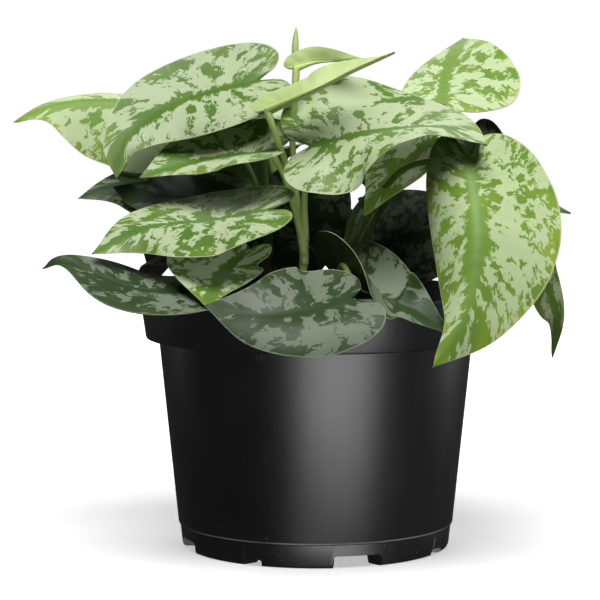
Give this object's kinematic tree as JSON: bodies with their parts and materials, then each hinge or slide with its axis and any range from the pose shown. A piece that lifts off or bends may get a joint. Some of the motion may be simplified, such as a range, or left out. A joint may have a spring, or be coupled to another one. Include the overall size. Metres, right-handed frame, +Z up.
{
  "type": "potted satin pothos",
  "caption": "Bushy houseplant with heart-shaped silver-splashed leaves, rooted in a filled black nursery pot that stands on the floor.",
  "frame": {"origin": "on the floor, under the middle of the plant's whole spread; the pot's axis stands 9.65 mm to its right and 1.1 mm behind it", "axes": "+Z up, +X to the right as the pictured side is seen, +Y away from that side"},
  "size_m": [0.2634, 0.2273, 0.2415],
  "materials": {
    "pot": "satin",
    "soil": "matte",
    "leaf": "satin"
  },
  "bodies": {
    "root": {"pot": "pot", "soil": "soil", "vine_back": "leaf", "vine_back_left": "leaf", "vine_back_right": "leaf", "vine_front": "leaf", "vine_front_centre": "leaf", "vine_left": "leaf", "vine_left_low": "leaf", "vine_right": "leaf"}
  },
  "joints": []
}
